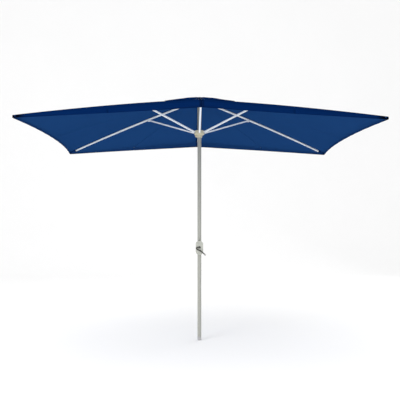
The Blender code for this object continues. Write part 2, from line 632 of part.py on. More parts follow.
def make_crown():
    """Crown hub with a slot and cross bore for each rib, the finial, and the cord's pulley."""
    top, radius = CROWN_TOP_Z, CROWN_RADIUS
    hub = [(0, top), (radius - 0.005, top), (radius, top - 0.004), (radius, CROWN_BOTTOM_Z + 0.004)]
    hub += [(radius - 0.004, CROWN_BOTTOM_Z), (COLLAR_RADIUS + 0.003, CROWN_BOTTOM_Z)]
    hub += [(COLLAR_RADIUS, CROWN_BOTTOM_Z - 0.006), (COLLAR_RADIUS, COLLAR_BOTTOM_Z)]
    hub += [(0, COLLAR_BOTTOM_Z)]
    cuts = [rod(POLE_RADIUS + GAP, COLLAR_BOTTOM_Z - 0.01, POLE_TOP_Z + GAP, along="Z", steps=36)]
    cuts.append(rod(STUD_RADIUS + GAP, top - STUD_LENGTH - 0.002, top + 0.01, along="Z", steps=20))
    cuts += hub_slots(crown_pivot, CROWN_BOTTOM_Z - 0.02, top + 0.02, CROWN_SLOT_ROOM)
    piece("crown_hub", combined(turned(hub, 48), cut=cuts), "cream_plastic")

    top, rim, base = FINIAL_TOP_Z, FINIAL_RADIUS, FINIAL_BASE_Z
    high = top - base
    boss, seat, stud_end = FINIAL_BOSS, CROWN_TOP_Z + GAP, CROWN_TOP_Z - STUD_LENGTH
    finial = [(0, top), (rim * 0.25, top - high * 0.04), (rim * 0.55, top - high * 0.17)]
    finial += [(rim * 0.82, top - high * 0.44), (rim, top - high * 0.74), (rim, base), (boss, base)]
    finial += [(boss, seat), (STUD_RADIUS, seat), (STUD_RADIUS, stud_end), (0, stud_end)]
    piece("finial", turned(finial, 40), "dark_plastic")

    half, edge, groove = PULLEY_WIDTH / 2, PULLEY_RADIUS, PULLEY_GROOVE
    wheel = [(0, half), (edge, half), (edge, half * 0.7), (groove, half * 0.25)]
    wheel += [(groove, -half * 0.25), (edge, -half * 0.7), (edge, -half), (0, -half)]
    bore = rod(AXLE_RADIUS + RUNNING, -0.02, 0.02, along="Y")
    pulley = combined(turned(wheel, 32, along="Y"), cut=[bore])
    piece("top_pulley", pulley, "black_plastic", (0, 0, PULLEY_Z))
    half = POLE_RADIUS + GAP
    axle = [(0, half + AXLE_HEAD), (AXLE_HEAD_RADIUS, half + AXLE_HEAD)]
    axle += [(AXLE_HEAD_RADIUS, half), (AXLE_RADIUS, half)]
    axle += [(radius, -height) for radius, height in axle[::-1]]
    piece("pulley_axle", turned(axle, 20, (0, 0, PULLEY_Z), "Y"), "steel")


def hub_slots(pivot_of, low, high, slot_room, open_corner=False):
    """Cutters for the six slots of a hub and for the cross bores of its pivots.

    With open_corner the corner slots have no bore, and OPEN_PIVOT_PLAY of room all round.
    """
    cuts = []
    for name, turn, x_sign, y_sign in ARMS:
        out, up = pivot_of(x_sign != 0)
        free = open_corner and x_sign != 0
        room = OPEN_PIVOT_PLAY if free else slot_room
        half = TONGUE_THICKNESS / 2 + (OPEN_SLOT_PLAY if free else SLOT_PLAY)
        floor = max(low, up - TONGUE_EYE - room) if open_corner else low
        beyond = CROWN_RADIUS + 0.03
        cuts.append(block((out - TONGUE_EYE - room, -half, floor), (beyond, half, high), turn))
        if not free:
            reach = TRUNNION_LENGTH / 2 + GAP
            bore = rod(PIN_RADIUS + RUNNING, -reach, reach, (out, up), steps=16)
            bore.transform(Matrix.Rotation(turn, 4, "Z"))
            cuts.append(bore)
    return cuts


def make_runner():
    """The runner: a sleeve on the pole with a slotted disc, and an eye for the lift cord."""
    top, bottom, radius = RUNNER_TOP_Z, RUNNER_BOTTOM_Z, RUNNER_RADIUS
    neck = POLE_RADIUS + RUNNER_RUNNING + RUNNER_NECK_WALL
    disc_top, disc_bottom = top - 0.007, bottom + 0.028
    body = [(0, top), (neck, top), (neck + 0.001, disc_top), (radius - 0.003, disc_top)]
    body += [(radius, disc_top - 0.004), (radius, disc_bottom + 0.005)]
    body += [(radius - 0.004, disc_bottom), (neck + 0.004, disc_bottom - 0.004), (neck, bottom)]
    body += [(0, bottom)]
    inner, outer, high = 0.0036 - neck, -neck - 0.0174, disc_bottom + 0.002
    eye = [(inner, high), (outer, high), (outer, high - 0.016), (outer + 0.007, bottom + 0.004)]
    tab = plate([*eye, (inner, bottom + 0.004)], RUNNER_TAB)
    hole = rod(RUNNER_EYE_RADIUS, -0.01, 0.01, (outer + 0.0078, high - 0.0145), steps=16)
    low = disc_bottom - 0.01
    cuts = hub_slots(runner_pivot, low, top + 0.02, RUNNER_SLOT_ROOM, open_corner=True)
    bore = rod(POLE_RADIUS + RUNNER_RUNNING, bottom - 0.01, top + 0.01, along="Z", steps=36)
    body = combined(turned(body, 48), joined=[tab])
    piece("runner_hub", combined(body, cut=[hole, bore, *cuts]), "cream_plastic")


def housing_outline():
    """Oval side view of the crank housing: round ends on a straight middle."""
    wide = HOUSING_HALF_WIDTH
    middle = HOUSING_HALF_HEIGHT - wide
    centre = CRANK_Z - HOUSING_DROP
    upper = arc((0, centre + middle), wide, 0, pi, 16)
    return upper + arc((0, centre - middle), wide, pi, 2 * pi, 16)


def make_crank():
    """Two-piece housing on the pole, its screws, the spool, and the handle with its knob."""
    def slab(y_0, y_1):
        return plate(housing_outline(), y_1 - y_0, (y_0 + y_1) / 2)

    low, high = CRANK_Z - CAVITY_HALF_HEIGHT, CRANK_Z + CAVITY_HALF_HEIGHT
    front = softened(slab(HOUSING_FRONT_Y, 0.02), 0.012, 4, radians(50))
    back = softened(slab(-0.02, HOUSING_BACK_Y), 0.010, 4, radians(50))
    wide = HOUSING_HALF_WIDTH + 0.01
    beyond = HOUSING_HALF_HEIGHT + 0.02
    bore = rod(POLE_RADIUS + GAP, CRANK_Z - 0.1, CRANK_Z + 0.1, along="Z", steps=36)
    screws = [
        rod(SCREW_RADIUS + GAP, SCREW_TIP_Y - GAP, HOUSING_BACK_Y + 0.01, (x, CRANK_Z), steps=12)
        for x in (-SCREW_X, SCREW_X)
    ]
    seat_y = HOUSING_BACK_Y - SCREW_SEAT
    heads = [
        rod(SCREW_HEAD_RADIUS + GAP, seat_y, HOUSING_BACK_Y + 0.01, (x, CRANK_Z), steps=16)
        for x in (-SCREW_X, SCREW_X)
    ]
    front_y = HOUSING_FRONT_Y + HOUSING_WALL
    cavity = block((-CAVITY_HALF_WIDTH, front_y, low), (CAVITY_HALF_WIDTH, CAVITY_BACK_Y, high))
    shaft_hole = rod(SHAFT_RADIUS + RUNNING, HOUSING_FRONT_Y - 0.01, front_y + 0.01, (0, CRANK_Z))
    behind = block((-wide, -GAP / 2, CRANK_Z - beyond), (wide, 0.05, CRANK_Z + beyond))
    ahead = block((-wide, -0.05, CRANK_Z - beyond), (wide, GAP / 2, CRANK_Z + beyond))
    front = combined(front, cut=[behind, bore.copy(), cavity, shaft_hole, *(s.copy() for s in screws)])
    back = combined(back, cut=[ahead, bore, *screws, *heads])
    piece("crank_housing_front", front, "housing_plastic")
    piece("crank_housing_back", back, "housing_plastic")

    head_y, top_y = seat_y + GAP, seat_y + GAP + SCREW_HEAD
    for name, x in (("left", -SCREW_X), ("right", SCREW_X)):
        screw = [(0, top_y), (SCREW_HEAD_RADIUS, top_y), (SCREW_HEAD_RADIUS, head_y)]
        screw += [(SCREW_RADIUS, head_y), (SCREW_RADIUS, SCREW_TIP_Y), (0, SCREW_TIP_Y)]
        wide, high = SCREW_HEAD_RADIUS * 0.15, SCREW_HEAD_RADIUS * 0.65
        base, end = (x - wide, top_y - SCREW_HEAD / 2, CRANK_Z - high), (x + wide, 0.05, CRANK_Z + high)
        mesh = combined(turned(screw, 16, (x, 0, CRANK_Z), "Y"), cut=[block(base, end)])
        piece(f"housing_screw_{name}", mesh, "steel")

    # everything from here turns on the crank's axis, so it is drawn about that axis
    axis = (0, 0, CRANK_Z)
    spool_front = SPOOL_BACK_Y - SPOOL_LENGTH
    shaft_end = CRANK_ARM_Y - 0.001
    spool = [(0, SPOOL_BACK_Y), (FLANGE_RADIUS, SPOOL_BACK_Y), (FLANGE_RADIUS, SPOOL_BACK_Y - FLANGE)]
    spool += [(DRUM_RADIUS, SPOOL_BACK_Y - FLANGE), (DRUM_RADIUS, spool_front + FLANGE)]
    spool += [(FLANGE_RADIUS, spool_front + FLANGE), (FLANGE_RADIUS, spool_front)]
    spool += [(SHAFT_RADIUS, spool_front), (SHAFT_RADIUS, shaft_end), (0, shaft_end)]
    piece("crank_spool", turned(spool, 32, along="Y"), "steel", axis)
    brake = [HOUSING_FRONT_Y + HOUSING_WALL + GAP, spool_front - GAP]
    inner = SHAFT_RADIUS + BRAKE_PLAY
    bore = rod(inner, brake[0] - 0.01, brake[1] + 0.01, steps=24)
    ring = combined(rod(inner + BRAKE_WIRE, brake[0], brake[1], steps=24), cut=[bore])
    piece("brake_spring", ring, "steel", axis)

    reach = (CRANK_REACH_X, CRANK_REACH_Z)
    route = [(0, 0), (-0.017, 0.001), (-0.030, -0.009), (-0.019, -0.022)]
    route += [(0.002, -0.030), (reach[0] - 0.021, reach[1] + 0.020), reach]
    path = smooth_path([(x, CRANK_ARM_Y, z) for x, z in route], 5)
    boss = rod(CRANK_BOSS_RADIUS, CRANK_ARM_Y - 0.006, CRANK_ARM_Y + 0.008)
    knob_seat = CRANK_ARM_RADIUS + 0.0009
    seat = rod(KNOB_SEAT_RADIUS, CRANK_ARM_Y - knob_seat, CRANK_ARM_Y + knob_seat, reach)
    socket = rod(SHAFT_RADIUS + GAP, shaft_end - GAP, CRANK_ARM_Y + 0.02)
    tapped = rod(KNOB_SCREW_RADIUS + GAP, CRANK_ARM_Y - 0.02, CRANK_ARM_Y + 0.0035, reach, steps=14)
    arm = combined(tube_along(path, CRANK_ARM_RADIUS, 3), joined=[boss, seat])
    piece("crank_arm", combined(arm, cut=[socket, tapped]), "dark_plastic", axis)

    knob_y = CRANK_ARM_Y - knob_seat - 2 * GAP
    end_y, radius = knob_y - KNOB_LENGTH, KNOB_RADIUS
    knob = [(0, knob_y), (radius * 0.72, knob_y), (radius * 0.86, knob_y - 0.004)]
    knob += [(radius, knob_y - KNOB_LENGTH * 0.55), (radius * 0.9, end_y + 0.004)]
    knob += [(radius * 0.62, end_y), (0, end_y)]
    bore = rod(KNOB_SCREW_RADIUS + RUNNING, end_y - 0.01, knob_y + 0.01, steps=16)
    sunk = rod(KNOB_SCREW_HEAD_RADIUS + 0.0005, end_y - 0.02, end_y + KNOB_SCREW_SUNK, steps=18)
    centre = (reach[0], 0, CRANK_Z + reach[1])
    piece("crank_knob", combined(turned(knob, 28, along="Y"), cut=[bore, sunk]), "dark_plastic", centre)
    head_y, tip_y, wide = end_y + KNOB_SCREW_SUNK - GAP, CRANK_ARM_Y + 0.0032, KNOB_SCREW_HEAD_RADIUS
    shank = [(0, tip_y), (KNOB_SCREW_RADIUS, tip_y), (KNOB_SCREW_RADIUS, head_y), (wide, head_y)]
    shank += [(wide, head_y - KNOB_SCREW_SUNK / 2), (0, head_y - KNOB_SCREW_SUNK / 2)]
    piece("knob_screw", turned(shank, 16, along="Y"), "steel", centre)


make_pole()
make_crown()
make_runner()
make_arms()
make_crank()
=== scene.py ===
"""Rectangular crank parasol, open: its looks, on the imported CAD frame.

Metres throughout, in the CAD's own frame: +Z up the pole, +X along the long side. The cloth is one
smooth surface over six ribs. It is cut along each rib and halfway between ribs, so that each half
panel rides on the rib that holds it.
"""
import json
from math import atan2, cos, hypot, pi, radians, sin

import bpy
import numpy as np
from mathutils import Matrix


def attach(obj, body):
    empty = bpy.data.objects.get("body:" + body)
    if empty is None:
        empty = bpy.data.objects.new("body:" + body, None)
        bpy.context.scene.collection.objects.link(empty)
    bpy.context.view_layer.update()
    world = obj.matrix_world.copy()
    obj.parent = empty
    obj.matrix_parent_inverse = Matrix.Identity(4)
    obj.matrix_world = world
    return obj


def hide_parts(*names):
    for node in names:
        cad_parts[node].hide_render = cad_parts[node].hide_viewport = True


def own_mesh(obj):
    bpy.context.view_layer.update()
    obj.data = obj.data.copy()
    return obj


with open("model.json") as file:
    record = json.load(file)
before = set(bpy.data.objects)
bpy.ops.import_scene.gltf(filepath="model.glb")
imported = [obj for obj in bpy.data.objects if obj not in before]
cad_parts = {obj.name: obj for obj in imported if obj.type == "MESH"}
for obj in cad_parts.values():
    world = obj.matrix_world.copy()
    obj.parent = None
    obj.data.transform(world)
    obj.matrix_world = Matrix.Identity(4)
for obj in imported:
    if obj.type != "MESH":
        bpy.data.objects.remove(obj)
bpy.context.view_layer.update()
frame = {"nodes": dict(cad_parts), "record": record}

# ------------------------------------------------------------------ sizes, as the CAD has them
HALF = np.array([1.5, 1.0])                 # half of the cloth's long and short sides
CORNER_TURN = atan2(HALF[1], HALF[0])
CORNER_OUT = hypot(*HALF)
RIB_BOW = 0.019
RIB_LINE = {True: (2.372, 0.1776), False: (2.3772, 0.24845)}    # corner or mid: height, slope
RIB_HALF_HEIGHT = 0.0075
CLOTH_GAP, CAD_CLOTH = 0.0016, 0.0015       # space over a rib, and the solid cloth's thickness
CLOTH_OVER_RIB = RIB_HALF_HEIGHT + CLOTH_GAP + CAD_CLOTH / 2    # middle layer above a rib's centre
OPENING, VENT_EDGE = 0.13, 0.22             # shares of the way from the pole to the hem
SHORT_BOW, LONG_BOW = 0.080, 0.015
HEM_DEPTH, HEM_CORNER_DEPTH, HEM_FLARE = 0.052, 0.020, 0.002
COLLAR_RADIUS, COLLAR_Z = 0.034, 2.3895
VENT_LIFT, VENT_CORNER_LIFT, VENT_PUFF = 0.013, 0.005, 0.007

# ------------------------------------------------------------------ the cloth's own sizes
CLOTH = 0.0011                              # thickness that shows
SEAM_HALF_GAP = 0.0001
SAG = 0.006                                 # at the middle of the span between two ribs
CORNER_CREASES = (0.0018, 0.30, 18)         # height, reach and number of the creases at a rib's end
MID_CREASES = (0.0012, 0.22, 16)
CREASE_START = 0.004                        # the corner itself stays flat
HEM_BULGE = 0.0012                          # how far the cloth's turn over the edge stands out
HEM_WAVE, VENT_RIPPLE = 0.0011, 0.0030
VENT_HEM_GAP, VENT_HEM_ROWS, VENT_HEM_FLARE = 0.0022, 4, 0.004
POCKET_LENGTH = {True: 0.100, False: 0.052}     # corner or mid
POCKET_FROM_TIP, POCKET_HALF_WIDTH, POCKET_TAPER = 0.006, 0.026, 0.013
POCKET_UNDER_RIB, POCKET_UNDER_CLOTH = 0.0022, 0.0003

# sewing, in metres on the cloth
WEAVE_PITCH, STITCH_PITCH = 0.0011, 0.0042
# the darkened band over a rib is tape and painted shadow of the rib; the darkened hem is painted
# shade
SEAM_TAPE_AND_SHADOW, HEM_FOLD_AND_SHADE = 0.0190, 0.0145        # half the tape over a rib, and the doubled hem's depth
SEAM_STITCHES, HEM_STITCHES = (0.0045, 0.0105), 0.0115
THREAD = (0.0009, 0.0003)                   # width and soft edge
# reach, soft edge and narrowing of the near black at each corner's tip
TIP_DARK_REACH, TIP_SOFT, TIP_NARROWING = 0.085, 0.045, 1.6

# name, sign of x, sign of y
ARMS = (
    ("front_right", 1, -1),
    ("back_right", 1, 1),
    ("back_left", -1, 1),
    ("front_left", -1, -1),
    ("front", 0, -1),
    ("back", 0, 1),
)


# ------------------------------------------------------------------ shaders
class Value:
    """A shader value that adds, multiplies and compares like a number."""

    def __init__(self, shader, socket):
        self.shader, self.socket = shader, socket

    def math(self, operation, *others):
        inputs = dict(enumerate((self, *others)))
        return self.shader.node("Math", 0, inputs, operation=operation)

    def __add__(self, other):
        return self.math("ADD", other)

    def __sub__(self, other):
        return self.math("SUBTRACT", other)

    def __mul__(self, other):
        return self.math("MULTIPLY", other)

    __radd__, __rmul__ = __add__, __mul__

    def __rsub__(self, other):
        return (self * -1) + other

    def sin(self):
        return self.math("SINE")

    def abs(self):
        return self.math("ABSOLUTE")

    def above(self, edge, soft):
        """0 below the edge and 1 above it, over a soft step."""
        inputs = {"Value": self, "From Min": edge - soft, "From Max": edge + soft}
        return self.shader.node("MapRange", "Result", inputs, interpolation_type="SMOOTHSTEP")

    def near(self, centre, width, soft):
        """1 within half a width of the centre, and 0 away from it."""
        return 1 - (self - centre).abs().above(width / 2, soft)


class Shader:
    """A Principled material built from values."""

    def __init__(self, name, **constants):
        self.material = bpy.data.materials.new(name)
        self.material.use_nodes = True
        self.tree = self.material.node_tree
        self.surface = self.tree.nodes["Principled BSDF"]
        for socket, value in constants.items():
            self.surface.inputs[socket.replace("_", " ")].default_value = value

    def feed(self, socket, value):
        """Links a value to a socket, or sets the socket's own number or colour."""
        if isinstance(value, Value):
            self.tree.links.new(value.socket, socket)
        else:
            socket.default_value = value

    def made(self, kind, inputs, settings):
        """A new node, by its type's name after ShaderNode: settings first, then its sockets."""
        node = self.tree.nodes.new("ShaderNode" + kind)
        for key, value in settings.items():
            setattr(node, key, value)
        for key, value in (inputs or {}).items():
            self.feed(node.inputs[key], value)
        return node

    def node(self, kind, output, inputs=None, **settings):
        """One output of a new node."""
        return Value(self, self.made(kind, inputs, settings).outputs[output])

    def parts(self, vector):
        """X, Y and Z of a vector."""
        return [Value(self, out) for out in self.made("SeparateXYZ", {0: vector}, {}).outputs]

    def joined(self, x, y, z=0.0):
        """The vector of three values."""
        return self.node("CombineXYZ", 0, {0: x, 1: y, 2: z})

    def place(self):
        """Where a point is on the whole object."""
        return self.node("TexCoord", "Object")

    def uv(self, name):
        """Where a point is on a piece's UV map."""
        return self.node("UVMap", 0, uv_map=name)

    def noise(self, vector, scale, detail=2.0, roughness=0.5):
        """Noise from 0 to 1."""
        inputs = {"Vector": vector, "Scale": scale, "Detail": detail, "Roughness": roughness}
        return self.node("TexNoise", "Fac", inputs)

    def mix(self, factor, low, high):
        """A colour between two, either of which may be a value or a plain colour."""
        low, high = (c if isinstance(c, Value) else (*c, 1) for c in (low, high))
        return self.node("Mix", 2, {"Factor": factor, 6: low, 7: high}, data_type="RGBA")

    def finish(self, colour, roughness=None, height=None, depth=0.001):
        """Feeds the surface and returns the material. Height is in units of depth, in metres."""
        self.feed(self.surface.inputs["Base Color"], colour)
        if roughness is not None:
            self.feed(self.surface.inputs["Roughness"], roughness)
        if height is not None:
            inputs = {"Height": height, "Distance": depth, "Strength": 1.0}
            self.feed(self.surface.inputs["Normal"], self.node("Bump", 0, inputs))
        return self.material


def cloth_material(name, base, seam_shade, faded, tip_shade=0.0):
    """Woven polyester: threads, slubs, seam tape, stitches and a doubled hem. The tape and hem are
    darker in colour, which is painted shadow beside each rib and painted shade on the hem as well.

    UV map "cloth" is in metres along and across the hem. In "sewn", U is the distance from the
    rib's seam and V the distance from the cloth's lower edge. "along" is the distance from the
    pole.
    """
    shader = Shader(name, Specular_IOR_Level=0.0)
    u, v, _ = shader.parts(shader.uv("cloth"))
    seam, edge, _ = shader.parts(shader.uv("sewn"))
    along = shader.node("Attribute", "Fac", attribute_name="along")
    warp, weft = (u * (2 * pi / WEAVE_PITCH)).sin(), (v * (2 * pi / WEAVE_PITCH)).sin()
    weave = warp * weft * 0.5 + 0.5
    slubs = shader.noise(shader.joined(u * 9, v * 320), 1.0, 3) + shader.noise(
        shader.joined(u * 320, v * 9), 1.0, 3
    )
    broad = shader.noise(shader.joined(u, v), 2.2, 3, 0.55)
    tape = 1 - seam.above(SEAM_TAPE_AND_SHADOW, 0.0012)
    fold = 1 - edge.above(HEM_FOLD_AND_SHADE, 0.0007)
    dashes = ((along * (2 * pi / STITCH_PITCH)).sin()).above(-0.25, 0.25)
    hem_dashes = ((u * (2 * pi / STITCH_PITCH)).sin()).above(-0.25, 0.25)
    inner, outer = SEAM_STITCHES
    seam_thread = (seam.near(inner, *THREAD) + seam.near(outer, *THREAD)) * dashes
    hem_thread = edge.near(HEM_STITCHES, *THREAD) * hem_dashes
    threads = seam_thread + hem_thread
    # how close a point is to the corner's tip
    tip_x, tip_y = CORNER_OUT - along, seam * TIP_NARROWING
    tip = 1 - (tip_x * tip_x + tip_y * tip_y).math("SQRT").above(TIP_DARK_REACH, TIP_SOFT)
    dark = tuple(c * seam_shade for c in base)
    colour = shader.mix((slubs - 0.7) * 0.55 + (broad - 0.35) * 0.5, base, faded)
    # painted shadow: darker along the tape over each rib, for the rib's shadow on the cloth, and
    # painted shade on the doubled hem
    colour = shader.mix(tape * 0.85 + fold * 0.45, colour, dark)
    colour = shader.mix(weave * 0.16, colour, dark)
    colour = shader.mix(threads, colour, tuple(c * 1.25 + 0.006 for c in base))
    # near black towards each corner's tip, on the outer side
    colour = shader.mix(tip * tip_shade, colour, (0.0006, 0.0009, 0.0022))
    crease = shader.noise(shader.joined(u * 3.0, v * 7.0), 1.0, 4, 0.6)
    height = weave * 0.10 + slubs * 0.10 + tape * 0.5 + fold * 0.6 + threads * 0.35
    height = height + crease * 0.9 - seam.near(0.0, 0.002, 0.0012) * 0.6
    return shader.finish(colour, 0.80 + slubs * 0.08, height, CLOTH)


def coated_metal(name, base, shade, roughness=0.36, grain=900.0):
    """Powder coat: fine orange peel, faint cloudiness, slight dust in the lower gloss."""
    shader = Shader(
        name, Sheen_Weight=0.30, Sheen_Roughness=0.35, Coat_Weight=0.15, Coat_Roughness=0.25
    )
    place = shader.place()
    cloud = shader.noise(place, 7.0, 4, 0.6)
    peel = shader.noise(place, grain, 2)
    fleck = shader.noise(place, grain * 2.3, 1).above(0.68, 0.05)
    colour = shader.mix(cloud * 0.5 + fleck * 0.25, base, shade)
    return shader.finish(colour, roughness + cloud * 0.10, peel, 0.00012)


def moulded(name, base, shade, roughness=0.45, texture=1600.0, depth=0.00018, gloss=0.45):
    """Moulded plastic: spark-eroded grain, faint flow marks and rubbed high spots."""
    shader = Shader(name, Specular_IOR_Level=gloss)
    place = shader.place()
    grain = shader.noise(place, texture, 2, 0.6)
    flow = shader.noise(place, 24.0, 3, 0.6)
    worn = shader.node("NewGeometry", "Pointiness").above(0.56, 0.04)
    colour = shader.mix(flow * 0.6, base, shade)
    colour = shader.mix(worn * 0.5, colour, tuple(min(c * 1.35 + 0.01, 1) for c in base))
    return shader.finish(colour, roughness + flow * 0.12 + grain * 0.05, grain, depth)


def bright_steel():
    """Zinc-plated steel: turned marks and a cloudy passivated film."""
    shader = Shader("bright_steel", Metallic=1.0)
    place = shader.place()
    x, y, z = shader.parts(place)
    marks = shader.noise(shader.joined(x * 60, y * 60, z * 900), 1.0, 3)
    film = shader.noise(place, 90.0, 3)
    colour = shader.mix(film, (0.50, 0.51, 0.52), (0.68, 0.67, 0.63))
    return shader.finish(colour, 0.24 + marks * 0.18, marks, 0.00006)


MATERIALS = {
    "pole_paint": coated_metal("pole_coat", (0.350, 0.356, 0.322), (0.305, 0.310, 0.280)),
    "rib_paint": coated_metal("rib_coat", (0.880, 0.920, 0.960), (0.790, 0.830, 0.870)),
    "cream_plastic": moulded("cream_moulding", (0.560, 0.530, 0.390), (0.480, 0.450, 0.330)),
    "housing_plastic": moulded("housing_moulding", (0.440, 0.450, 0.405), (0.370, 0.380, 0.340)),
    "dark_plastic": moulded(
        "dark_moulding", (0.045, 0.045, 0.040), (0.032, 0.032, 0.028), 0.5, gloss=0.15
    ),
    "black_plastic": moulded("black_moulding", (0.012, 0.012, 0.014), (0.018, 0.018, 0.020), 0.5),
    "foot_plastic": moulded("foot_moulding", (0.360, 0.360, 0.365), (0.300, 0.300, 0.305), 0.55),
    "steel": bright_steel(),
}
# the outer side is the deeper navy, and near black at the corners' tips; the underside's brighter
# blue is painted light shining through the cloth
OUTER = cloth_material(
    "cloth_outer", (0.0010, 0.0125, 0.0680), 0.55, (0.0018, 0.0180, 0.0900), 0.97
)
UNDER = cloth_material("cloth_under", (0.0092, 0.0450, 0.1560), 0.32, (0.0130, 0.0580, 0.1880))
POCKET = cloth_material("cloth_pocket", (0.0040, 0.0260, 0.1150), 0.8, (0.0060, 0.0330, 0.1350))

for entry in frame["record"]["subparts"]:
    if entry["material_slot"] in MATERIALS:
        node = frame["nodes"][entry["node"]]
        node.data.materials.clear()
        node.data.materials.append(MATERIALS[entry["material_slot"]])


# ------------------------------------------------------------------ the cloth's surface
def hem_shares(x_sign, y_sign, across):
    """Points of the outline as shares of the half sizes, and which of them are on a long side.

    across is 0 at the arm's rib, -1 and 1 where the neighbouring arms' cloth begins.
    """
    if not x_sign:
        return across / 2, np.full_like(across, y_sign), np.ones(across.shape, bool)
    short = across < 0
    x = np.where(short, x_sign, x_sign * (1 - across / 2))
    y = np.where(short, y_sign * (1 + across), y_sign)
    return x, y, ~short


def rib_direction(x_sign, y_sign):
    """Unit vector in plan from the pole along an arm's rib."""
    return (x_sign * cos(CORNER_TURN), y_sign * sin(CORNER_TURN)) if x_sign else (0, y_sign)


def from_rib(points, x_sign, y_sign):
    """Each point's distance in plan from the rib's line, and from the pole along that line."""
    rib_x, rib_y = rib_direction(x_sign, y_sign)
    seam = np.abs(points[..., 0] * rib_y - points[..., 1] * rib_x)
    return seam, points[..., 0] * rib_x + points[..., 1] * rib_y


def cut_back(x_sign, y_sign, side):
    """The hair by which a piece stands back from its neighbour, so that they never touch."""
    if not x_sign:
        return (-side * SEAM_HALF_GAP, 0, 0)
    if side < 0:
        return (0, y_sign * SEAM_HALF_GAP, 0)
    return (x_sign * SEAM_HALF_GAP, 0, 0)


def rib_centre(corner, out):
    """Height of a rib's centre line: a slope down from the pole, less a bow with its square."""
    up, slope = RIB_LINE[corner]
    return up - slope * out - RIB_BOW * out**2


def over_rib(corner, share):
    """Height of the cloth's middle layer over a rib, at a share of the way to the hem."""
    return rib_centre(corner, share * (CORNER_OUT if corner else HALF[1])) + CLOTH_OVER_RIB


def between_ribs(x, y, on_long):
    """A parabola along the hem: 0 over each rib and 1 halfway between two."""
    along = np.abs(x)
    return np.where(on_long, 4 * along * (1 - along), 1 - y**2)


def creases(across, back, sizes):
    """Creases that fan out from a rib's end: a cosine of the angle, dying away with distance."""
    height, reach, count = sizes
    distance = np.hypot(across, back)
    fan = np.arctan2(across, back + 1e-6)
    return height * np.exp(-((distance / reach) ** 2)) * np.cos(fan * count)


def surface(x, y, on_long, share):
    """The main cloth's middle layer: straight from rib to rib, with the hem drawn in.

    Between ribs the cloth also hangs a little, and near a rib's end it is pulled into faint
    creases that fan out from the corner.
    """
    mid, corner = over_rib(False, share), over_rib(True, share)
    along = np.abs(x)
    height = np.where(on_long, (1 - along) * mid + along * corner, corner)
    span = between_ribs(x, y, on_long)
    height = height - SAG * span * np.sin(pi * share)
    pull_x = np.where(on_long, 0, -x * SHORT_BOW * span)
    pull_y = np.where(on_long, -y * LONG_BOW * span, 0)
    px = x * HALF[0] * share + pull_x * share**3
    py = y * HALF[1] * share + pull_y * share**3
    from_x, from_y = HALF[0] - np.abs(px), HALF[1] - np.abs(py)
    off_tip = np.hypot(from_x, from_y) > CREASE_START
    height = height + creases(from_x, from_y, CORNER_CREASES) * off_tip
    height = height + creases(px, from_y, MID_CREASES)
    return np.stack([px, py, height], -1)


def hem_depth(x):
    """The hanging hem narrows from a mid rib to the corners, and is a plain hem on a short side."""
    return HEM_CORNER_DEPTH + (HEM_DEPTH - HEM_CORNER_DEPTH) * (1 - np.abs(x))


def hem_wave(run, slack):
    """How far the hanging hem stands out: three uneven sine waves, none where a rib holds it."""
    waves = np.sin(run * 37 + 0.7) + 0.6 * np.sin(run * 61 + 2.1) + 0.4 * np.sin(run * 113)
    return HEM_WAVE * waves * slack


def panel_grid(x_sign, y_sign, side, columns, rows, hem_rows):
    """Points of half an arm's cloth and the sewing coordinates of each.

    Columns run from the rib to the neighbour's cloth, rows from the vent opening to the hem, and
    then down the hem band.
    """
    step = np.linspace(0, 1, columns + 1)
    across = side * step
    share = OPENING + (1 - OPENING) * (1 - (1 - np.linspace(0, 1, rows + 1)) ** 1.25)
    x, y, on_long = hem_shares(x_sign, y_sign, across)
    if side < 0 and x_sign:
        on_long = np.zeros(across.shape, bool)
    top = surface(x[None], y[None], on_long[None], share[:, None])
    depth = hem_depth(x)
    drop = np.linspace(0, 1, hem_rows + 1)[1:, None]
    run = np.where(on_long, top[-1, :, 0], top[-1, :, 1])
    slack = np.minimum(1, 6 * step)
    if x_sign == 0 or side > 0:
        slack = step * slack
    out = HEM_FLARE * drop + hem_wave(run, slack)[None] * np.sqrt(drop)
    out = out + HEM_BULGE * np.sqrt(np.minimum(1, drop * 10)) - HEM_BULGE * drop
    out_x = np.where(np.abs(x) == 1, x, 0)[None] * out
    out_y = np.where(np.abs(y) == 1, y, 0)[None] * out
    band = top[-1][None] + np.stack([out_x, out_y, -depth[None] * drop], -1)
    points = np.concatenate([top, band])
    points[:, -1] += cut_back(x_sign, y_sign, side)
    seam, along = from_rib(points, x_sign, y_sign)
    # distance down the slope to the hem's edge, and then down the band
    plan = points[..., :2]
    inwards = np.where(on_long, HALF[1] - np.abs(plan[..., 1]), HALF[0] - np.abs(plan[..., 0]))
    to_hem = inwards * 1.02
    hang = np.concatenate([np.zeros((rows + 1, columns + 1)), drop * depth[None]])
    across_run = np.where(on_long, plan[..., 0], plan[..., 1])
    cloth = np.stack([across_run, to_hem - hang], -1)
    sewn = np.stack([seam, to_hem + depth[None] - hang], -1)
    return points, cloth, sewn, along


